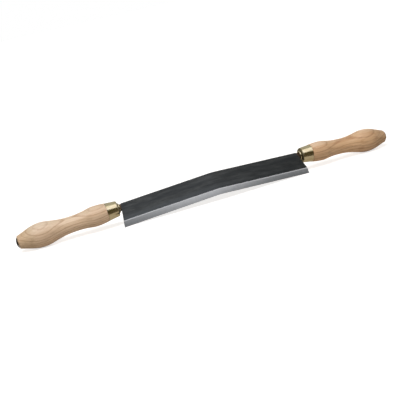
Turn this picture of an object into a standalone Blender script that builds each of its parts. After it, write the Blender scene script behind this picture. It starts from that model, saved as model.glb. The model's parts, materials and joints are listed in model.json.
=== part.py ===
"""Bent drawknife: a bevelled steel blade, bent at the middle, with a turned wooden handle at each end.

Metres, +Z up, X along the tool. It lies as it does on a bench, on the bulbs of its handles and the end
corners of its cutting edge, with the origin on the bench below its middle.

Each piece is made in one of two frames. The blade is a flat bar, described by (along, across, up) from the
middle of the bar on the handles' axis, and bent last. The pieces of a handle are described along their own
axis, which is in line with that half of the blade, starts at the front of the ferrule and runs outwards.
"""

from math import copysign, cos, hypot, pi, radians, sin

import bmesh
import bpy
import numpy as np
from mathutils import Vector
from mathutils.geometry import interpolate_bezier

MM = 0.001

# Blade, measured on the flat bar
EDGE_LENGTH = 230 * MM
BLADE_WIDTH = 29.4 * MM
BLADE_THICKNESS = 4 * MM
BACK_ABOVE_AXIS = 4.1 * MM
END_FLARE = 5.4 * MM  # how much further out an end is at the cutting edge than at the back
BEVEL_WIDTH = 6.4 * MM
EDGE_LAND = 0.15 * MM
EASED_EDGE = 0.4 * MM
BEND_ANGLE = radians(10.7)
BEND_RADIUS = 60 * MM

# Tang, forged in one with the blade, and the head that its end is hammered into
TANG_ROOT_HEIGHT = 7 * MM
TANG_END_HEIGHT = 4.4 * MM
TANG_THICKNESS = 3.4 * MM
TANG_ROOT_FILLET = 1.2 * MM
RIVET_OVERLAP = 1 * MM  # how far the head reaches past the tang's corners
RIVET_HEIGHT = 0.6 * MM

# Ferrule
FERRULE_GAP = 2 * MM  # bare tang between the blade and the ferrule, on the axis
FERRULE_LENGTH = 14.9 * MM  # with its lip
FERRULE_FRONT_DIAMETER = 17.1 * MM
FERRULE_REAR_DIAMETER = 20.6 * MM
FERRULE_WALL = 1 * MM
FERRULE_ROUNDING = 1.8 * MM
LIP_REACH = 1.7 * MM  # how far the rolled lip around the hole stands out
LIP_RADIUS = 0.5 * MM
LIP_MARGIN = 0.5 * MM  # room between the tang's corners and the hole

# Handle: the diameters along it, and the distance of each from the one before
SHOULDER_DIAMETER = 21 * MM
SWELL_DIAMETER = 23.1 * MM
SWELL_FROM_SHOULDER = 14.4 * MM
WAIST_DIAMETER = 18.2 * MM
WAIST_FROM_SWELL = 26 * MM
BULB_DIAMETER = 27.7 * MM
BULB_FROM_WAIST = 34.5 * MM
BUTT_DIAMETER = 15.2 * MM
BUTT_FROM_BULB = 27.7 * MM
BUTT_SLOPE = -0.3  # change of radius along the tapered end, where it meets the butt
BUTT_ROUNDING = 1.4 * MM

# Washer under the hammered end of the tang
WASHER_DIAMETER = 11.4 * MM
WASHER_THICKNESS = 0.9 * MM
WASHER_CHAMFER = 0.25 * MM

CLEARANCE = 0.3 * MM  # left between pieces that touch or fit
TOLERANCE = 0.01 * MM  # within which a corner counts as being at a place

# How finely curves are divided
TURNED_SIDES = 48
BEND_STEPS = 10
ARC_STEPS = 4
PROFILE_STEPS = 9
SHARP_ANGLE = radians(25)  # a crease above this is a real edge

# Finishes: colour, roughness and metallic value
BLACKENED_STEEL = ("blackened_steel", (0.045, 0.049, 0.049), 0.5, 0.6)
GROUND_STEEL = ("ground_steel", (0.33, 0.34, 0.34), 0.35, 1.0)
BRASS = ("brass", (0.6, 0.45, 0.2), 0.25, 1.0)
ASH_WOOD = ("ash_wood", (0.6, 0.41, 0.26), 0.55, 0.0)
DARK_STEEL = ("dark_steel", (0.02, 0.017, 0.014), 0.5, 0.8)

# Places on the flat bar
HALF_BEND = BEND_ANGLE / 2
EDGE_ACROSS = BACK_ABOVE_AXIS - BLADE_WIDTH
HALF_THICKNESS = BLADE_THICKNESS / 2


def blade_end(across):
    """How far out the slanted end of the bar is, at this place across it."""
    return EDGE_LENGTH / 2 - END_FLARE * (across - EDGE_ACROSS) / BLADE_WIDTH


# Places along a handle's axis, from the front of the ferrule
AXIS_START = blade_end(0) + FERRULE_GAP
FERRULE_NOSE = LIP_REACH + FERRULE_WALL
SPIGOT_FRONT = FERRULE_NOSE + CLEARANCE
SHOULDER_AT = FERRULE_LENGTH + CLEARANCE
SWELL_AT = SHOULDER_AT + SWELL_FROM_SHOULDER
WAIST_AT = SWELL_AT + WAIST_FROM_SWELL
BULB_AT = WAIST_AT + BULB_FROM_WAIST
BUTT_AT = BULB_AT + BUTT_FROM_BULB
WASHER_AT = BUTT_AT + CLEARANCE
RIVET_AT = WASHER_AT + WASHER_THICKNESS + CLEARANCE
TANG_END = RIVET_AT + RIVET_HEIGHT / 2
RIVET_RADIUS = hypot(TANG_END_HEIGHT, TANG_THICKNESS) / 2 + RIVET_OVERLAP


def clear_scene():
    for old in list(bpy.data.objects):
        bpy.data.objects.remove(old)


def add_object(name, mesh, parent):
    made = bpy.data.objects.new(name, mesh)
    bpy.context.scene.collection.objects.link(made)
    made.parent = parent
    return made


def add_helper(name, mesh, parent):
    """A solid that only joins or cuts another."""
    made = add_object(name, mesh, parent)
    made.hide_render = True
    made.display_type = "WIRE"
    return made


def add_boolean(piece, operation, other):
    modifier = piece.modifiers.new(other.name, "BOOLEAN")
    modifier.operation = operation
    modifier.object = other


def add_finish(mesh, finish):
    name, colour, roughness, metallic = finish
    material = bpy.data.materials.get(name) or bpy.data.materials.new(name)
    material.use_nodes = True
    shader = material.node_tree.nodes["Principled BSDF"]
    shader.inputs["Base Color"].default_value = (*colour, 1)
    shader.inputs["Roughness"].default_value = roughness
    shader.inputs["Metallic"].default_value = metallic
    mesh.materials.append(material)


def mesh_of(name, bm):
    """The finished mesh, shaded smooth except at its real edges."""
    bmesh.ops.recalc_face_normals(bm, faces=bm.faces)
    mesh = bpy.data.meshes.new(name)
    bm.to_mesh(mesh)
    bm.free()
    mesh.shade_smooth()
    mesh.set_sharp_from_angle(angle=SHARP_ANGLE)
    return mesh


def turned(name, profile, closed=False):
    """A mesh turned about X from (along, radius) points. An open profile starts and ends on the axis."""
    bm = bmesh.new()
    rings = []
    for along, radius in profile:
        sides = TURNED_SIDES if radius > 0 else 1
        angles = [2 * pi * i / sides for i in range(sides)]
        rings.append([bm.verts.new((along, radius * cos(a), radius * sin(a))) for a in angles])
    following = rings[1:] + rings[:1] if closed else rings[1:]
    for ring, after in zip(rings, following):
        for i in range(TURNED_SIDES):
            j = i + 1
            corners = [ring[i % len(ring)], ring[j % len(ring)], after[j % len(after)], after[i % len(after)]]
            bm.faces.new(dict.fromkeys(corners))
    return mesh_of(name, bm)


def arc(centre, radius, start, end):
    """(along, radius) points on a circle between two angles, measured from the outward end of the axis."""
    steps = [start + (end - start) * i / ARC_STEPS for i in range(ARC_STEPS + 1)]
    return [(centre[0] + radius * cos(a), centre[1] + radius * sin(a)) for a in steps]


def flowing(start, end, leave, arrive, end_slope=0.0):
    """A curve that leaves level and arrives at a slope, each for about the given share of it."""
    span = end[0] - start[0]
    first = (start[0] + leave * span, start[1])
    second = (end[0] - arrive * span, end[1] - arrive * span * end_slope)
    points = [Vector((*point, 0)) for point in (start, first, second, end)]
    return [(p.x, p.y) for p in interpolate_bezier(*points, PROFILE_STEPS)]


def bent(point):
    """Where a point of the flat bar is once the bar is bent, with its middle at the top of the bend."""
    along, across, up = point
    on_bend = max(-HALF_BEND, min(HALF_BEND, along / BEND_RADIUS))
    past_bend = along - on_bend * BEND_RADIUS
    from_centre = BEND_RADIUS + up
    return Vector((
        from_centre * sin(on_bend) + past_bend * cos(on_bend),
        across,
        from_centre * cos(on_bend) - past_bend * sin(on_bend) - BEND_RADIUS,
    ))


def tang_half_height(along):
    """Half the tang's height, at this distance from the front of the ferrule."""
    share = (along + FERRULE_GAP) / (TANG_END + FERRULE_GAP)
    return (TANG_ROOT_HEIGHT + share * (TANG_END_HEIGHT - TANG_ROOT_HEIGHT)) / 2


def cut_through(bm, along):
    """An edge loop around the bar at this place along it."""
    everything = bm.verts[:] + bm.edges[:] + bm.faces[:]
    bmesh.ops.bisect_plane(bm, geom=everything, dist=1e-7, plane_co=(along, 0, 0), plane_no=(1, 0, 0))


def cut_bar(bm):
    """The outline of the flat bar with a tang at each end, as a slab."""
    root = TANG_ROOT_HEIGHT / 2
    tip = TANG_END_HEIGHT / 2
    right_end = [
        (EDGE_LENGTH / 2, EDGE_ACROSS),
        (blade_end(-root), -root),
        (AXIS_START + TANG_END, -tip),
        (AXIS_START + TANG_END, tip),
        (blade_end(root), root),
        (blade_end(BACK_ABOVE_AXIS), BACK_ABOVE_AXIS),
    ]
    outline = right_end + [(-along, across) for along, across in reversed(right_end)]
    corners = [bm.verts.new((along, across, -HALF_THICKNESS)) for along, across in outline]
    bm.faces.new(corners)
    roots = [corners[1], corners[-2]]
    bmesh.ops.bevel(
        bm, geom=roots, offset=TANG_ROOT_FILLET, segments=ARC_STEPS, profile=0.5, affect="VERTICES"
    )
    raised = bmesh.ops.extrude_face_region(bm, geom=bm.faces[:])["geom"]
    moved = [v for v in raised if isinstance(v, bmesh.types.BMVert)]
    bmesh.ops.translate(bm, verts=moved, vec=(0, 0, BLADE_THICKNESS))
    bmesh.ops.recalc_face_normals(bm, faces=bm.faces)


def grind_bevel(bm):
    """Takes the upper corner off along the cutting edge."""
    drop = BLADE_THICKNESS - EDGE_LAND
    cut = bmesh.ops.bisect_plane(
        bm,
        geom=bm.verts[:] + bm.edges[:] + bm.faces[:],
        plane_co=(0, EDGE_ACROSS + BEVEL_WIDTH, HALF_THICKNESS),
        plane_no=(0, -drop, BEVEL_WIDTH),
        clear_outer=True,
    )
    rim = [e for e in cut["geom_cut"] if isinstance(e, bmesh.types.BMEdge)]
    ground = bmesh.ops.contextual_create(bm, geom=rim)["faces"]
    bmesh.ops.recalc_face_normals(bm, faces=bm.faces)
    for face in ground:
        face.material_index = 1


def ease_edges(bm):
    """Breaks the sharp edges of both faces, all but the cutting edge."""
    eased = []
    for edge in bm.edges:
        tilts = sorted(abs(face.normal.z) for face in edge.link_faces)
        is_rim = tilts[0] < 0.01 and tilts[1] > 0.99
        is_cutting = all(v.co.y < EDGE_ACROSS + TOLERANCE for v in edge.verts)
        if is_rim and not is_cutting:
            eased.append(edge)
    bmesh.ops.bevel(bm, geom=eased, offset=EASED_EDGE, segments=2, profile=0.5, affect="EDGES")


def thin_tangs(bm):
    """Draws each tang down to its own thickness inside the nose of the ferrule."""
    thinned_from = AXIS_START + FERRULE_NOSE
    for side in (-1, 1):
        cut_through(bm, side * (AXIS_START - CLEARANCE))
        cut_through(bm, side * thinned_from)
    for vert in bm.verts:
        on_tang = abs(vert.co.y) < TANG_ROOT_HEIGHT / 2
        if on_tang and abs(vert.co.x) > thinned_from - TOLERANCE:
            vert.co.z *= TANG_THICKNESS / BLADE_THICKNESS


def make_blade(tool, rivet_heads):
    bm = bmesh.new()
    cut_bar(bm)
    grind_bevel(bm)
    ease_edges(bm)
    thin_tangs(bm)
    for i in range(BEND_STEPS + 1):
        cut_through(bm, HALF_BEND * BEND_RADIUS * (2 * i / BEND_STEPS - 1))
    for vert in bm.verts:
        vert.co = bent(vert.co)
    mesh = mesh_of("blade", bm)
    add_finish(mesh, BLACKENED_STEEL)
    add_finish(mesh, GROUND_STEEL)
    blade = add_object("blade", mesh, tool)
    for head in rivet_heads:
        add_boolean(blade, "UNION", head)
    return blade


def rivet_head_mesh():
    """The domed head that the end of the tang is hammered into."""
    quarter = [pi / 2 * i / ARC_STEPS for i in range(ARC_STEPS)]
    dome = [(RIVET_AT + RIVET_HEIGHT * sin(a), RIVET_RADIUS * cos(a)) for a in quarter]
    return turned("rivet_head", [(RIVET_AT, 0), *dome, (RIVET_AT + RIVET_HEIGHT, 0)])


def tang_slot_mesh():
    """What is cut from a handle and its washer to let the tang through."""
    bm = bmesh.new()
    bmesh.ops.create_cube(bm, size=1)
    for vert in bm.verts:
        along = SPIGOT_FRONT - CLEARANCE if vert.co.x < 0 else RIVET_AT
        across = tang_half_height(along) + CLEARANCE
        up = TANG_THICKNESS / 2 + CLEARANCE
        vert.co = (along, copysign(across, vert.co.y), copysign(up, vert.co.z))
    return mesh_of("tang_slot", bm)


def ferrule_radius(along):
    """Outside radius of the ferrule's tapered wall."""
    share = along / FERRULE_LENGTH
    return (FERRULE_FRONT_DIAMETER + share * (FERRULE_REAR_DIAMETER - FERRULE_FRONT_DIAMETER)) / 2


def ferrule_mesh():
    """A tapered cap, rounded at the front, with a lip rolled in around the hole for the tang."""
    hole = hypot(TANG_ROOT_HEIGHT, BLADE_THICKNESS) / 2 + LIP_MARGIN
    round_at = LIP_REACH + FERRULE_ROUNDING
    round_centre = (round_at, ferrule_radius(round_at) - FERRULE_ROUNDING)
    lip_centre = (LIP_RADIUS, hole + LIP_RADIUS)
    profile = [
        (FERRULE_LENGTH, ferrule_radius(FERRULE_LENGTH)),
        *arc(round_centre, FERRULE_ROUNDING, pi / 2, pi),
        (LIP_REACH, hole + 2 * LIP_RADIUS),
        *arc(lip_centre, LIP_RADIUS, pi / 2, 3 * pi / 2),
        (FERRULE_NOSE, hole),
        (FERRULE_NOSE, ferrule_radius(FERRULE_NOSE) - FERRULE_WALL),
        (FERRULE_LENGTH, ferrule_radius(FERRULE_LENGTH) - FERRULE_WALL),
    ]
    mesh = turned("ferrule", profile, closed=True)
    add_finish(mesh, BRASS)
    return mesh


def handle_mesh():
    """The turned handle, from the spigot in its ferrule to the butt."""
    swell = (SWELL_AT, SWELL_DIAMETER / 2)
    waist = (WAIST_AT, WAIST_DIAMETER / 2)
    bulb = (BULB_AT, BULB_DIAMETER / 2)
    taper_end = (BUTT_AT - BUTT_ROUNDING, BUTT_DIAMETER / 2)
    inside = FERRULE_WALL + CLEARANCE
    start = (SHOULDER_AT, SHOULDER_DIAMETER / 2)
    rise = flowing(swell, start, leave=0.45, arrive=0.4, end_slope=0.12)
    fall = flowing(swell, waist, leave=0.27, arrive=0.69)
    grow = flowing(waist, bulb, leave=0.49, arrive=0.25)
    taper = flowing(bulb, taper_end, leave=0.39, arrive=0.45, end_slope=BUTT_SLOPE)
    rounding = arc((taper_end[0], taper_end[1] - BUTT_ROUNDING), BUTT_ROUNDING, pi / 2, 0)
    profile = [
        (SPIGOT_FRONT, 0),
        (SPIGOT_FRONT, ferrule_radius(SPIGOT_FRONT) - inside),
        (SHOULDER_AT, ferrule_radius(SHOULDER_AT) - inside),
        *reversed(rise),
        *fall[1:],
        *grow[1:],
        *taper[1:],
        *rounding[1:],
        (BUTT_AT, 0),
    ]
    mesh = turned("handle", profile)
    add_finish(mesh, ASH_WOOD)
    return mesh


def washer_mesh():
    outside = WASHER_AT + WASHER_THICKNESS
    radius = WASHER_DIAMETER / 2
    profile = [
        (WASHER_AT, 0),
        (WASHER_AT, radius),
        (outside - WASHER_CHAMFER, radius),
        (outside, radius - WASHER_CHAMFER),
        (outside, 0),
    ]
    mesh = turned("butt_washer", profile)
    add_finish(mesh, DARK_STEEL)
    return mesh


def points_of(pieces):
    """All corners of these pieces as they stand, one in each row."""
    bpy.context.view_layer.update()
    graph = bpy.context.evaluated_depsgraph_get()
    found = []
    for piece in pieces:
        shape = piece.evaluated_get(graph)
        found += [shape.matrix_world @ vert.co for vert in shape.data.vertices]
    return np.array(found)


def resting_roll(blade, handles):
    """The turn about X at which the cutting edge comes down level with the bulbs of the handles."""
    groups = [points_of([blade]), points_of(handles)]
    low, high = 0.0, pi / 2
    for _ in range(40):
        roll = (low + high) / 2
        edge, bulb = [(group[:, 1] * sin(roll) + group[:, 2] * cos(roll)).min() for group in groups]
        if edge > bulb:
            low = roll
        else:
            high = roll
    return roll


def lay_down(tool, blade, handles, others):
    """Lays the tool on the ground plane with the origin below the middle of its box."""
    tool.rotation_euler.x = resting_roll(blade, handles)
    points = points_of([blade, *handles, *others])
    lowest, highest = points.min(axis=0), points.max(axis=0)
    tool.location = (0, -(lowest[1] + highest[1]) / 2, -lowest[2])


def make_tool():
    clear_scene()
    tool = add_object("drawknife", None, None)
    turned_meshes = {"handle": handle_mesh(), "ferrule": ferrule_mesh(), "butt_washer": washer_mesh()}
    slot_mesh = tang_slot_mesh()
    head_mesh = rivet_head_mesh()
    made = {kind: [] for kind in turned_meshes}
    heads = []
    for side, along, turn in (("left", -AXIS_START, pi), ("right", AXIS_START, 0)):
        axis = add_object(f"axis_{side}", None, tool)
        axis.location = bent((along, 0, 0))
        axis.rotation_euler = (0, HALF_BEND, turn)
        for kind, mesh in turned_meshes.items():
            made[kind].append(add_object(f"{kind}_{side}", mesh, axis))
        slot = add_helper(f"tang_slot_{side}", slot_mesh, axis)
        for kind in ("handle", "butt_washer"):
            add_boolean(made[kind][-1], "DIFFERENCE", slot)
        heads.append(add_helper(f"rivet_head_{side}", head_mesh, axis))
    blade = make_blade(tool, heads)
    lay_down(tool, blade, made["handle"], made["ferrule"] + made["butt_washer"])


make_tool()
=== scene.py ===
"""Looks of the bent drawknife: its finishes, a pale floor, soft studio light and the camera.

Metres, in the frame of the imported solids, which stay as they are. The finishes of a handle, its ferrule and
its washer are laid out along the handle's axis, and the blade's along its cutting edge and up from it.
"""

import json
from collections import namedtuple
from functools import reduce
from math import radians

import bpy
from mathutils import Matrix, Vector


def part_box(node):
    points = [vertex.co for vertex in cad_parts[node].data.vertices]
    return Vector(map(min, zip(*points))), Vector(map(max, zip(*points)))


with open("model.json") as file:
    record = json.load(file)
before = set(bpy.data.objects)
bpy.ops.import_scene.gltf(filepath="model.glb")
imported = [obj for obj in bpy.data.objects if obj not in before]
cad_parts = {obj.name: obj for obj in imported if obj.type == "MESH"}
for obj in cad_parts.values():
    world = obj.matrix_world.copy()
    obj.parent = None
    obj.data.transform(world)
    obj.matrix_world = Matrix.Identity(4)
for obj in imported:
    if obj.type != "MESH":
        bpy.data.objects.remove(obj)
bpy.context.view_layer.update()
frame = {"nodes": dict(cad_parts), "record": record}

# Clouds in a metre along each direction, how many finer layers they have, and how strong each layer is
Noise = namedtuple("Noise", "scale detail roughness", defaults=(2, 0.5))

# Colours of a wood, where the handle's axis lies from the pith of its tree, the turn of the grain against
# that axis in radians, and the width of a ring
Wood = namedtuple("Wood", "sap heart dark streak from_pith turn ring")

Lamp = namedtuple("Lamp", "place size power colour")

# A card lies flat, facing up, before its tilt in degrees about X
Card = namedtuple("Card", "place size tilt colour")

MM = 0.001
SIDES = ("left", "right")
WHITE = (1, 1, 1)
BLACK = (0, 0, 0)

# Camera, with its lens in millimetres
CAMERA_AT = Vector((-0.2832, -0.9751, 0.2364))
CAMERA_AIM = Vector((-0.0174, -0.0100, -0.0024))
CAMERA_ROLL = radians(-12.91)
LENS = 79.02

# Smooth shading
SHARP_ANGLE = radians(25)
WELD_DISTANCE = 0.002 * MM

# Names in the finishes: RANGE is the part of a noise that shows, SHARE is how much of a colour is mixed in,
# SHARES are its two ends, and RELIEF is the height of the bumps

# Ash wood
WOODS = {
    "left": Wood(
        sap=(0.705, 0.54, 0.37),
        heart=(0.745, 0.53, 0.325),
        dark=(0.36, 0.17, 0.075),
        streak=(0.555, 0.372, 0.218),
        from_pith=(0, 12 * MM, 30 * MM),
        turn=(0, 0.04, 0.03),
        ring=2.25 * MM,
    ),
    "right": Wood(
        sap=(0.84, 0.61, 0.41),
        heart=(0.765, 0.487, 0.247),
        dark=(0.34, 0.13, 0.047),
        streak=(0.52, 0.27, 0.115),
        from_pith=(0, -17 * MM, 31.9 * MM),
        turn=(0, 0.05, 0.04),
        ring=3.4 * MM,
    ),
}
SWAY = Noise((9, 45, 45))
SWAY_MIDDLE = (0.5, 0.5, 0.5)
SWAY_REACH = (0, 3 * MM, 3 * MM)
GROWTH = Noise((120, 0, 0), detail=1)
GROWTH_REACH = 4 * MM  # how far a run of good or bad years moves the rings
EARLY_RISE = (0.0, 0.1)  # the shares of a year in which its dark early wood sets in
EARLY_FALL = (0.12, 0.38)  # and in which it fades
RING_STRENGTH = (0.7, 1.3)  # of the faintest and of the strongest ring
HEART_END = 3 * MM  # where the heartwood ends, beyond the handle's axis as seen from the pith
SAP_START = 12 * MM  # where the wood is all pale sapwood, from there too
FIBRES = Noise((40, 1300, 1300), detail=3)
FIBRE_RANGE = (0.45, 0.8)
FIBRE_SHARE = 0.6
FIBRE_HEIGHT = 0.4  # against the depth of a pore
PORES = Noise((160, 3200, 3200), detail=1)
PORE_RANGE = (0.56, 0.7)
PORE_SHARES = (0.1, 0.5)  # in late and in early wood
PORE_SHADE = 0.55  # against the dark of the rings
CLOUDS = Noise((14, 60, 60))
CLOUD_RANGE = (0.3, 0.75)
STREAKS = Noise((10, 450, 450))
STREAK_RANGE = (0.45, 0.7)
STREAK_SHARES = (0.75, 0.4)  # in heartwood and in sapwood
LINE_BREAKS = (0.25, 1.0)  # strength of a ring's line, by the fibres it crosses
LINE_STRENGTH = (0.85, 0.6)  # where the surface cuts across the rings, and where it lies along them
END_GRAIN_RANGE = (0.05, 0.5)  # how far the surface faces along the axis
END_GRAIN_TINT = (0.72, 0.69, 0.59)
WOOD_ROUGHNESS = (0.42, 0.56)
WOOD_SPECULAR = 1.0
WOOD_RELIEF = 0.05 * MM

# Brass
BRASS_CLEAN = (0.9, 0.79, 0.53)
BRASS_TARNISHED = (0.72, 0.58, 0.33)
BRASS_ROUGHNESS = (0.14, 0.26)
TARNISH = Noise((90, 260, 260), detail=4, roughness=0.6)
TARNISH_RANGE = (0.4, 0.75)
TURNING = Noise((6000, 120, 120), detail=1)
TURNING_RELIEF = 0.004 * MM
LIP_ROOT = -6.1 * MM  # from the ferrule's middle to the groove behind its lip
GROOVE_RISE = (LIP_ROOT - 0.9 * MM, LIP_ROOT - 0.2 * MM)
GROOVE_FALL = (LIP_ROOT + 0.3 * MM, LIP_ROOT + 1.5 * MM)
# Painted shade: the colour is darkened in the groove behind the lip, where shade falls
GROOVE_PAINTED_SHADE = (0.085, 0.068, 0.026)
GROOVE_SHADE_SHARE = 0.88
GROOVE_ROUGHNESS = 0.2  # on top of the brass's own

# Parts of the blade
BEVEL_WIDTH = 6.4 * MM
BLADE_END = 114.4 * MM  # from the middle to an end of the cutting edge
END_SLOPE = 5.4 / 29.4  # how much shorter the blade gets for its distance from the edge
TANG_BLEND = 0.8 * MM
HEAD_FROM = 200 * MM  # from the middle to a place inside a handle, before the hammered head of the tang
TOP_FACING = 0.2  # least share of the face's direction in a normal on the bevelled side

# Blackened steel of the blade
SCALE_DARK = (0.042, 0.044, 0.042)
SCALE_LIGHT = (0.084, 0.0865, 0.082)
SCALE_METALLIC = 0.7
SCALE_ROUGHNESS = (0.42, 0.58)
MOTTLE = Noise((80, 320, 320), detail=4, roughness=0.6)
MOTTLE_RANGE = (0.25, 0.75)
MOTTLE_RELIEF = 0.015 * MM
ROLLING = Noise((25, 900, 900), detail=3)
ROLLING_RANGE = (0.45, 0.8)
ROLLING_COLOUR = (0.024, 0.026, 0.026)
ROLLING_SHARE = 0.5
BANDS = Noise((8, 220, 220))
BAND_RANGE = (0.35, 0.7)
BAND_COLOUR = (0.03, 0.033, 0.034)
BAND_SHARE = 0.6
RUBBED_COLOUR = (0.088, 0.096, 0.097)
RUBBED_FALL = (BEVEL_WIDTH, BEVEL_WIDTH + 9 * MM)
RUBBED_SPAN = (-80 * MM, 100 * MM)
RUBBED_STRENGTH = (0.85, 0.1)  # at the left and at the right end of that span
RUBBED_SHARES = (0.6, 1.0)
WORN_COLOUR = (0.16, 0.165, 0.17)
WORN_FALL = (BEVEL_WIDTH - 1 * MM, BEVEL_WIDTH + 1.6 * MM)
WORN_SHARES = (0.05, 0.4)
TANG_COLOUR = (0.1, 0.063, 0.036)
HEAD_DARK = (0.02, 0.017, 0.014)
HEAD_LIGHT = (0.09, 0.076, 0.062)
DENTS = Noise((650, 650, 650), detail=1)
DENT_RELIEF = 0.5 * MM

# Ground steel of the bevel, with painted highlights and painted shade
GRIND_SPAN = (-130 * MM, 60 * MM)
GRIND_INSET = (-0.1 * MM, 0.6 * MM)  # from the bevel's upper border down to the grind's, along that span
WOBBLE = Noise((300, 30, 0))
WOBBLE_REACH = (-0.3 * MM, 0.3 * MM)
SCRATCHES = Noise((2600, 120, 120))
SCRATCH_RELIEF = 0.01 * MM
SCRATCH_ROUGHNESS = (-0.05, 0.06)
BEVEL_DARK = (0.305, 0.312, 0.316)
BEVEL_LIGHT = (0.47, 0.481, 0.489)
# Painted highlight: the bevel's colour is brighter around its middle, where a highlight falls
BEVEL_HIGHLIGHT_DARK = (0.77, 0.782, 0.789)
BEVEL_HIGHLIGHT_LIGHT = (0.92, 0.93, 0.933)
BEVEL_HIGHLIGHT_MIDDLE = -20 * MM
BEVEL_HIGHLIGHT_REACH = 110 * MM
# Painted highlight: a bright line along the bevel's upper border
RIM_HIGHLIGHT_COLOUR = (0.99, 0.996, 0.99)
RIM_HIGHLIGHT_RISE = (BEVEL_WIDTH - 1.4 * MM, BEVEL_WIDTH - 0.3 * MM)
RIM_HIGHLIGHT_SHARE = 0.8
# Painted shade: the bevel's colour darkens towards the cutting edge
EDGE_PAINTED_SHADE = (0.71, 0.725, 0.735)
EDGE_SHADE_SHARES = (0.8, 0.0)  # at the cutting edge, and at the bevel's upper border
GROUND_METALLIC = 0.57
GROUND_ROUGHNESS = (0.34, 0.48)  # at the cutting edge, and at the bevel's upper border

# Blackened washers
WASHER_MOTTLE = Noise((300, 300, 300), detail=4, roughness=0.6)
WASHER_DARK = (0.008, 0.006, 0.004)
WASHER_LIGHT = (0.024, 0.017, 0.011)
WASHER_METALLIC = 0.6
WASHER_ROUGHNESS = (0.45, 0.65)
WASHER_RELIEF = 0.03 * MM

# Floor and surroundings
FLOOR_SIZE = 40
FLOOR_COLOUR = (0.56, 0.515, 0.46)
FLOOR_ROUGHNESS = 0.9
FLOOR_GLOW = (0.69, 1.0)  # near the tool, and away from it
FLOOR_GLOW_RISE = (0.2, 1.0)  # distances from the tool's middle
WORLD_LIGHT = 0.19

# Lamps
LAMPS = {
    "key": Lamp((-0.48, -0.72, 1.46), size=(1.2, 0.9), power=29, colour=(0.95, 1.0, 1.11)),
    "fill_behind": Lamp((0.2, 1.4, 0.5), size=(1.4, 0.8), power=13, colour=WHITE),
}

# Cards around the set, which show in reflections only
CARDS = {
    "card_top": Card((-0.3, -0.75, 1.3), size=(2.2, 0.9), tilt=35, colour=(1.13, 1.15, 1.3)),
    "card_right": Card((1.9, -0.3, 1.3), size=(2.2, 2.4), tilt=0, colour=(0.1, 0.1, 0.1)),
    "card_low": Card((0.42, -1.2, 1.0), size=(0.5, 0.26), tilt=90, colour=(1.2, 1.2, 1.2)),
    "card_front": Card((0.2, -1.25, 0.58), size=(3.8, 1.16), tilt=90, colour=(0.062, 0.05, 0.022)),
    "card_front_floor": Card((0.2, -0.62, 0.0005), size=(3.8, 1.16), tilt=0, colour=(0.055, 0.042, 0.02)),
    "card_under": Card((0, 0.26, 0.0005), size=(3.8, 0.6), tilt=0, colour=(0.37, 0.33, 0.28)),
    "card_back_top": Card((0, 2.4, 2.4), size=(8, 7), tilt=135, colour=(0.4, 0.4, 0.38)),
}


def set_input(tree, socket, value):
    """Gives a socket a value, or links it to an output."""
    if isinstance(value, bpy.types.NodeSocket):
        tree.links.new(value, socket)
    else:
        socket.default_value = value


def add_node(tree, kind, inputs=None, **settings):
    """A node with these settings. Each input is a value, or the output that it is linked to."""
    node = tree.nodes.new(kind)
    for name, value in settings.items():
        setattr(node, name, value)
    for name, value in (inputs or {}).items():
        set_input(tree, node.inputs[name], value)
    return node


def opaque(colour):
    """A colour as a socket takes it. An output stays as it is."""
    return colour if isinstance(colour, bpy.types.NodeSocket) else (*colour, 1)


def halfway(first, second):
    return tuple((a + b) / 2 for a, b in zip(first, second))


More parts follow.
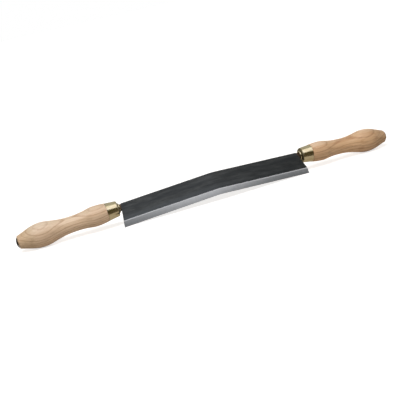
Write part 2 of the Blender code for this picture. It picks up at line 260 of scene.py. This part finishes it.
class Shading:
    """A material, and short ways to add the nodes that make up its pattern."""

    def __init__(self, name):
        self.material = bpy.data.materials.new(name)
        self.material.use_nodes = True
        self.tree = self.material.node_tree
        self.shader = self.tree.nodes["Principled BSDF"]

    def node(self, kind, inputs=None, **settings):
        return add_node(self.tree, "ShaderNode" + kind, inputs, **settings)

    def point(self):
        return self.node("TexCoord").outputs["Object"]

    def place(self, rotation, origin):
        """The surface point in a frame of its own."""
        inputs = {"Vector": self.point(), "Location": origin, "Rotation": rotation.to_euler()}
        return self.node("Mapping", inputs, vector_type="TEXTURE").outputs["Vector"]

    def xyz(self, point):
        return self.node("SeparateXYZ", {"Vector": point}).outputs

    def noise(self, point, kind, output="Fac"):
        """Cloudy values from 0 to 1."""
        scaled = self.node("Mapping", {"Vector": point, "Scale": kind.scale}).outputs["Vector"]
        inputs = {"Vector": scaled, "Scale": 1.0, "Detail": kind.detail, "Roughness": kind.roughness}
        return self.node("TexNoise", inputs).outputs[output]

    def math(self, operation, *values):
        return self.node("Math", dict(enumerate(values)), operation=operation).outputs["Value"]

    def product(self, *values):
        return reduce(lambda first, second: self.math("MULTIPLY", first, second), values)

    def vector_math(self, operation, *values):
        return self.node("VectorMath", dict(enumerate(values)), operation=operation).outputs

    def dot(self, vector, direction):
        return self.vector_math("DOT_PRODUCT", vector, direction)["Value"]

    def rise(self, value, low, high):
        """0 below low, 1 above high, and smooth between them."""
        inputs = {"Value": value, "From Min": low, "From Max": high}
        return self.node("MapRange", inputs, interpolation_type="SMOOTHSTEP").outputs["Result"]

    def fall(self, value, low, high):
        """1 below low, 0 above high, and smooth between them."""
        return self.math("SUBTRACT", 1.0, self.rise(value, low, high))

    def between(self, value, low, high):
        """A value from 0 to 1, spread from low to high."""
        return self.node("MapRange", {"Value": value, "To Min": low, "To Max": high}).outputs["Result"]

    def mix(self, share, first, second, blend="MIX"):
        """Colours mixed by share. A colour is three numbers or an output."""
        inputs = {"Factor": share, "A": opaque(first), "B": opaque(second)}
        return self.node("Mix", inputs, data_type="RGBA", blend_type=blend).outputs["Result"]

    def mix_numbers(self, share, first, second):
        return self.node("Mix", {"Factor": share, "A": first, "B": second}).outputs["Result"]

    def bump(self, height, distance=1.0):
        return self.node("Bump", {"Height": height, "Distance": distance}).outputs["Normal"]

    def finish(self, **inputs):
        """Sets the shader's inputs, named with _ for a space."""
        for name, value in inputs.items():
            set_input(self.tree, self.shader.inputs[name.replace("_", " ")], value)
        return self.material


def middle(node):
    low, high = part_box(node)
    return (low + high) / 2


def handle_frame(side):
    """Rotation and origin of a handle's frame: X runs from the ferrule's middle to the butt."""
    start = middle(f"ferrule_{side}")
    along = middle(f"butt_washer_{side}") - start
    return along.to_track_quat("X", "Z").to_matrix(), start


def blade_frame():
    """Rotation and origin of the blade's frame: X along its edge, Y up from the edge, Z out of its face."""
    faces = [Vector(mount["axis"]) for mount in frame["record"]["mounts"]]
    up = sum(faces, Vector()).normalized()
    along = Vector((1, 0, 0))
    across = up.cross(along)
    rotation = Matrix((along, across, up)).transposed()
    points = [rotation.transposed() @ v.co for v in frame["nodes"]["blade"].data.vertices]
    edge = min(p.y for p in points)
    return rotation, rotation @ Vector((0, edge, 0))


def smooth_shading():
    """A modifier's node group that shades a solid smooth, apart from its real edges."""
    tree = bpy.data.node_groups.new("smooth_shading", "GeometryNodeTree")
    tree.interface.new_socket("Geometry", in_out="INPUT", socket_type="NodeSocketGeometry")
    tree.interface.new_socket("Geometry", in_out="OUTPUT", socket_type="NodeSocketGeometry")

    def step(kind, geometry, inputs, **settings):
        node = add_node(tree, "GeometryNode" + kind, {"Geometry": geometry, **inputs}, **settings)
        return node.outputs["Geometry"]

    solid = add_node(tree, "NodeGroupInput").outputs["Geometry"]
    solid = step("MergeByDistance", solid, {"Distance": WELD_DISTANCE})
    solid = step("RemoveAttribute", solid, {"Name": "custom_normal"})
    solid = step("SetShadeSmooth", solid, {"Shade Smooth": True}, domain="FACE")
    angle = add_node(tree, "GeometryNodeInputMeshEdgeAngle").outputs["Unsigned Angle"]
    soft = add_node(tree, "FunctionNodeCompare", {"A": angle, "B": SHARP_ANGLE}, operation="LESS_THAN")
    solid = step("SetShadeSmooth", solid, {"Shade Smooth": soft.outputs["Result"]}, domain="EDGE")
    add_node(tree, "NodeGroupOutput", {"Geometry": solid})
    return tree


def place_in_tree(s, point, wood):
    """The surface point in the frame of the tree, whose pith lies along X. The grain sways a little."""
    sway = s.noise(point, SWAY, "Color")
    offset = s.vector_math("SUBTRACT", sway, SWAY_MIDDLE)["Vector"]
    swayed = s.vector_math("MULTIPLY_ADD", offset, SWAY_REACH, point)["Vector"]
    inputs = {"Vector": swayed, "Location": wood.from_pith, "Rotation": wood.turn}
    return s.node("Mapping", inputs).outputs["Vector"]


def early_wood(s, radius, ring):
    """The dark start of each year's growth. The years differ in width and in strength."""
    outwards = s.node("CombineXYZ", {"X": radius}).outputs["Vector"]
    grown = s.math("MULTIPLY_ADD", s.noise(outwards, GROWTH), GROWTH_REACH, radius)
    years = s.math("DIVIDE", grown, ring)
    year = s.math("FLOOR", years)
    vigour = s.node("TexWhiteNoise", {"W": year}, noise_dimensions="1D").outputs["Value"]
    share = s.math("FRACT", years)
    strength = s.between(vigour, *RING_STRENGTH)
    return s.product(s.rise(share, *EARLY_RISE), s.fall(share, *EARLY_FALL), strength)


def ash_wood(side):
    """Ash with growth rings, paler sapwood, fibres, pores and streaks, darker on its end grain."""
    wood = WOODS[side]
    s = Shading(f"ash_wood_{side}")
    rotation, origin = handle_frame(side)
    point = s.place(rotation, origin)
    _, across, up = s.xyz(place_in_tree(s, point, wood))
    radius = s.math("SQRT", s.math("ADD", s.product(across, across), s.product(up, up)))
    early = early_wood(s, radius, wood.ring)
    fibres = s.noise(point, FIBRES)
    pores = s.rise(s.noise(point, PORES), *PORE_RANGE)

    # The square of how far the surface faces out of the tree
    normal = s.node("NewGeometry").outputs["Normal"]
    facing_across = s.product(s.dot(normal, rotation.col[1]), across)
    facing_up = s.product(s.dot(normal, rotation.col[2]), up)
    outwards = s.math("DIVIDE", s.math("ADD", facing_across, facing_up), radius)
    flat_sawn = s.product(outwards, outwards)
    lines = s.product(early, s.between(fibres, *LINE_BREAKS), s.between(flat_sawn, *LINE_STRENGTH))

    axis_radius = Vector(wood.from_pith).length
    sapwood = s.rise(radius, axis_radius + HEART_END, axis_radius + SAP_START)
    deep = halfway(wood.heart, wood.dark)
    colour = s.mix(sapwood, wood.heart, wood.sap)
    colour = s.mix(s.rise(s.noise(point, CLOUDS), *CLOUD_RANGE), colour, halfway(wood.heart, deep))
    streaks = s.rise(s.noise(point, STREAKS), *STREAK_RANGE)
    colour = s.mix(s.product(streaks, s.between(sapwood, *STREAK_SHARES)), colour, wood.streak)
    colour = s.mix(s.product(s.rise(fibres, *FIBRE_RANGE), FIBRE_SHARE), colour, deep)
    colour = s.mix(lines, colour, wood.dark)
    pore_colour = tuple(PORE_SHADE * c for c in wood.dark)
    colour = s.mix(s.product(pores, s.between(early, *PORE_SHARES)), colour, pore_colour)
    end_grain = s.rise(s.dot(normal, rotation.col[0]), *END_GRAIN_RANGE)
    colour = s.mix(end_grain, colour, END_GRAIN_TINT, blend="MULTIPLY")

    relief = s.math("SUBTRACT", s.product(fibres, FIBRE_HEIGHT), s.product(pores, early))
    return s.finish(
        Base_Color=colour,
        Roughness=s.between(lines, *WOOD_ROUGHNESS),
        Specular_IOR_Level=WOOD_SPECULAR,
        Normal=s.bump(relief, WOOD_RELIEF),
    )


def brass(side):
    """Turned brass, tarnished in patches, with painted shade in the groove behind its lip."""
    s = Shading(f"brass_{side}")
    point = s.place(*handle_frame(side))
    along = s.xyz(point)["X"]
    tarnish = s.noise(point, TARNISH)
    groove = s.product(s.rise(along, *GROOVE_RISE), s.fall(along, *GROOVE_FALL))
    colour = s.mix(s.rise(tarnish, *TARNISH_RANGE), BRASS_CLEAN, BRASS_TARNISHED)
    # Painted shade in the groove behind the lip
    colour = s.mix(s.product(groove, GROOVE_SHADE_SHARE), colour, GROOVE_PAINTED_SHADE)
    roughness = s.between(tarnish, *BRASS_ROUGHNESS)
    return s.finish(
        Base_Color=colour,
        Metallic=1.0,
        Roughness=s.math("MULTIPLY_ADD", groove, GROOVE_ROUGHNESS, roughness),
        Normal=s.bump(s.noise(point, TURNING), TURNING_RELIEF),
    )


def blackened_colour(s, point, along, height, mottle):
    """Dark faces, streaked from rolling, rubbed towards the bevel and worn at its border."""
    rolling = s.noise(point, ROLLING)
    bands = s.rise(s.noise(point, BANDS), *BAND_RANGE)
    colour = s.mix(s.rise(mottle, *MOTTLE_RANGE), SCALE_DARK, SCALE_LIGHT)
    colour = s.mix(s.product(s.rise(rolling, *ROLLING_RANGE), ROLLING_SHARE), colour, ROLLING_COLOUR)
    colour = s.mix(s.product(bands, BAND_SHARE), colour, BAND_COLOUR)
    strength = s.between(s.rise(along, *RUBBED_SPAN), *RUBBED_STRENGTH)
    rubbed = s.product(s.fall(height, *RUBBED_FALL), strength, s.between(rolling, *RUBBED_SHARES))
    colour = s.mix(rubbed, colour, RUBBED_COLOUR)
    worn = s.product(s.fall(height, *WORN_FALL), s.between(rolling, *WORN_SHARES))
    return s.mix(worn, colour, WORN_COLOUR)


def ground_colour(s, along, height, up_bevel, scratches):
    """A scratched bevel, with a painted highlight at its middle and along its upper border, and painted shade
    towards the cutting edge.
    """
    # A painted highlight around the bevel's middle
    painted_highlight = s.fall(s.math("ABSOLUTE", s.math("SUBTRACT", along, BEVEL_HIGHLIGHT_MIDDLE)), 0.0, BEVEL_HIGHLIGHT_REACH)
    plain_bevel = s.mix(scratches, BEVEL_DARK, BEVEL_LIGHT)
    colour = s.mix(painted_highlight, plain_bevel, s.mix(scratches, BEVEL_HIGHLIGHT_DARK, BEVEL_HIGHLIGHT_LIGHT))
    # A painted highlight along the bevel's upper border
    colour = s.mix(s.product(s.rise(height, *RIM_HIGHLIGHT_RISE), RIM_HIGHLIGHT_SHARE), colour, RIM_HIGHLIGHT_COLOUR)
    # Painted shade towards the cutting edge
    return s.mix(s.between(up_bevel, *EDGE_SHADE_SHARES), colour, EDGE_PAINTED_SHADE, blend="MULTIPLY")


def blade_steel():
    """A blackened blade with a bright ground bevel, browned tangs and hammered heads."""
    s = Shading("blade_steel")
    rotation, origin = blade_frame()
    point = s.place(rotation, origin)
    along, across, _ = s.xyz(point)
    off_middle = s.math("ABSOLUTE", along)

    # Height above the cutting edge, uneven as the grind is
    inset = s.between(s.rise(along, *GRIND_SPAN), *GRIND_INSET)
    wobble = s.between(s.noise(point, WOBBLE), *WOBBLE_REACH)
    height = s.math("ADD", s.math("ADD", across, inset), wobble)
    normal = s.node("NewGeometry").outputs["True Normal"]
    on_top = s.math("GREATER_THAN", s.dot(normal, rotation.col[2]), TOP_FACING)
    ground = s.product(s.math("LESS_THAN", height, BEVEL_WIDTH), on_top)

    mottle = s.noise(point, MOTTLE)
    dark = blackened_colour(s, point, along, height, mottle)
    end = s.math("SUBTRACT", BLADE_END, s.product(across, END_SLOPE))
    tang = s.rise(s.math("SUBTRACT", off_middle, end), 0.0, TANG_BLEND)
    dark = s.mix(tang, dark, TANG_COLOUR)
    head = s.math("GREATER_THAN", off_middle, HEAD_FROM)
    dents = s.noise(point, DENTS)
    dark = s.mix(head, dark, s.mix(dents, HEAD_DARK, HEAD_LIGHT))

    scratches = s.noise(point, SCRATCHES)
    # How far up the bevel a point lies, which also sets the painted shade at the cutting edge
    up_bevel = s.rise(height, 0.0, BEVEL_WIDTH)
    bright = ground_colour(s, along, height, up_bevel, scratches)
    dark_roughness = s.between(mottle, *SCALE_ROUGHNESS)
    roughened = s.between(scratches, *SCRATCH_ROUGHNESS)
    bright_roughness = s.math("ADD", s.between(up_bevel, *GROUND_ROUGHNESS), roughened)

    scratched = s.product(scratches, ground, SCRATCH_RELIEF)
    dented = s.product(dents, head, DENT_RELIEF)
    relief = s.math("MULTIPLY_ADD", mottle, MOTTLE_RELIEF, s.math("ADD", scratched, dented))
    return s.finish(
        Base_Color=s.mix(ground, dark, bright),
        Metallic=s.between(ground, SCALE_METALLIC, GROUND_METALLIC),
        Roughness=s.mix_numbers(ground, dark_roughness, bright_roughness),
        Normal=s.bump(relief),
    )


def washer_steel(side):
    """Mottled, blackened steel."""
    s = Shading(f"washer_steel_{side}")
    mottle = s.noise(s.place(*handle_frame(side)), WASHER_MOTTLE)
    return s.finish(
        Base_Color=s.mix(mottle, WASHER_DARK, WASHER_LIGHT),
        Metallic=WASHER_METALLIC,
        Roughness=s.between(mottle, *WASHER_ROUGHNESS),
        Normal=s.bump(mottle, WASHER_RELIEF),
    )


def seen_directly(tree):
    """1 for rays that show the background itself: from the camera, or by way of a mirror or glass."""
    path = add_node(tree, "ShaderNodeLightPath").outputs
    seen = path["Is Camera Ray"]
    for kind in ("Is Glossy Ray", "Is Transmission Ray"):
        either = add_node(tree, "ShaderNodeMath", {0: seen, 1: path[kind]}, operation="MAXIMUM")
        seen = either.outputs["Value"]
    return seen


def add_world():
    """Surroundings that are white where they are seen, and light the tool softly."""
    world = bpy.data.worlds.new("studio")
    world.use_nodes = True
    bpy.context.scene.world = world
    tree = world.node_tree
    inputs = {"Value": seen_directly(tree), "To Min": WORLD_LIGHT, "To Max": 1.0}
    level = add_node(tree, "ShaderNodeMapRange", inputs).outputs["Result"]
    background = tree.nodes["Background"]
    set_input(tree, background.inputs["Color"], opaque(WHITE))
    set_input(tree, background.inputs["Strength"], level)


def add_floor():
    """A pale floor that shows white around the tool, and keeps its shadow."""
    bpy.ops.mesh.primitive_plane_add(size=FLOOR_SIZE)
    floor = bpy.context.object
    floor.name = "floor"
    s = Shading("floor")
    distance = s.vector_math("LENGTH", s.point())["Value"]
    glow = s.between(s.rise(distance, *FLOOR_GLOW_RISE), *FLOOR_GLOW)
    floor.data.materials.append(s.finish(
        Base_Color=opaque(FLOOR_COLOUR),
        Roughness=FLOOR_ROUGHNESS,
        Emission_Color=opaque(WHITE),
        Emission_Strength=s.product(glow, seen_directly(s.tree)),
    ))


def add_lamp(name, lamp):
    """A soft lamp that points to the tool and doesn't show in reflections."""
    light = bpy.data.lights.new(name, "AREA")
    light.shape = "RECTANGLE"
    light.size, light.size_y = lamp.size
    light.energy = lamp.power
    light.color = lamp.colour
    holder = bpy.data.objects.new(name, light)
    bpy.context.scene.collection.objects.link(holder)
    holder.location = lamp.place
    holder.rotation_euler = (-holder.location).to_track_quat("-Z", "Y").to_euler()
    holder.visible_glossy = False


def add_card(name, card):
    """A glowing card that shows in reflections only, and casts no shadow."""
    bpy.ops.mesh.primitive_plane_add(size=1, location=card.place, rotation=(radians(card.tilt), 0, 0))
    plane = bpy.context.object
    plane.name = name
    plane.scale = (*card.size, 1)
    plane.visible_camera = False
    plane.visible_diffuse = False
    plane.visible_shadow = False
    plane.data.materials.append(Shading(name).finish(
        Base_Color=opaque(BLACK),
        Roughness=1.0,
        Emission_Color=opaque(card.colour),
        Emission_Strength=1.0,
    ))


def add_camera():
    camera = bpy.data.cameras.new("camera")
    camera.lens = LENS
    holder = bpy.data.objects.new("camera", camera)
    bpy.context.scene.collection.objects.link(holder)
    upright = (CAMERA_AIM - CAMERA_AT).to_track_quat("-Z", "Y").to_matrix()
    turned = upright @ Matrix.Rotation(CAMERA_ROLL, 3, "Z")
    holder.matrix_world = Matrix.Translation(CAMERA_AT) @ turned.to_4x4()
    bpy.context.scene.camera = holder


def dress(node, material, shading):
    """Gives a solid its finish and its smooth shading."""
    piece = frame["nodes"][node]
    piece.data.materials[0] = material
    modifier = piece.modifiers.new("smooth_shading", "NODES")
    modifier.node_group = shading


def dress_tool():
    shading = smooth_shading()
    for side in SIDES:
        dress(f"handle_{side}", ash_wood(side), shading)
        dress(f"ferrule_{side}", brass(side), shading)
        dress(f"butt_washer_{side}", washer_steel(side), shading)
    dress("blade", blade_steel(), shading)


dress_tool()
add_floor()
add_world()
for lamp_name, lamp in LAMPS.items():
    add_lamp(lamp_name, lamp)
for card_name, card in CARDS.items():
    add_card(card_name, card)
add_camera()
bpy.context.scene.view_settings.view_transform = "Standard"
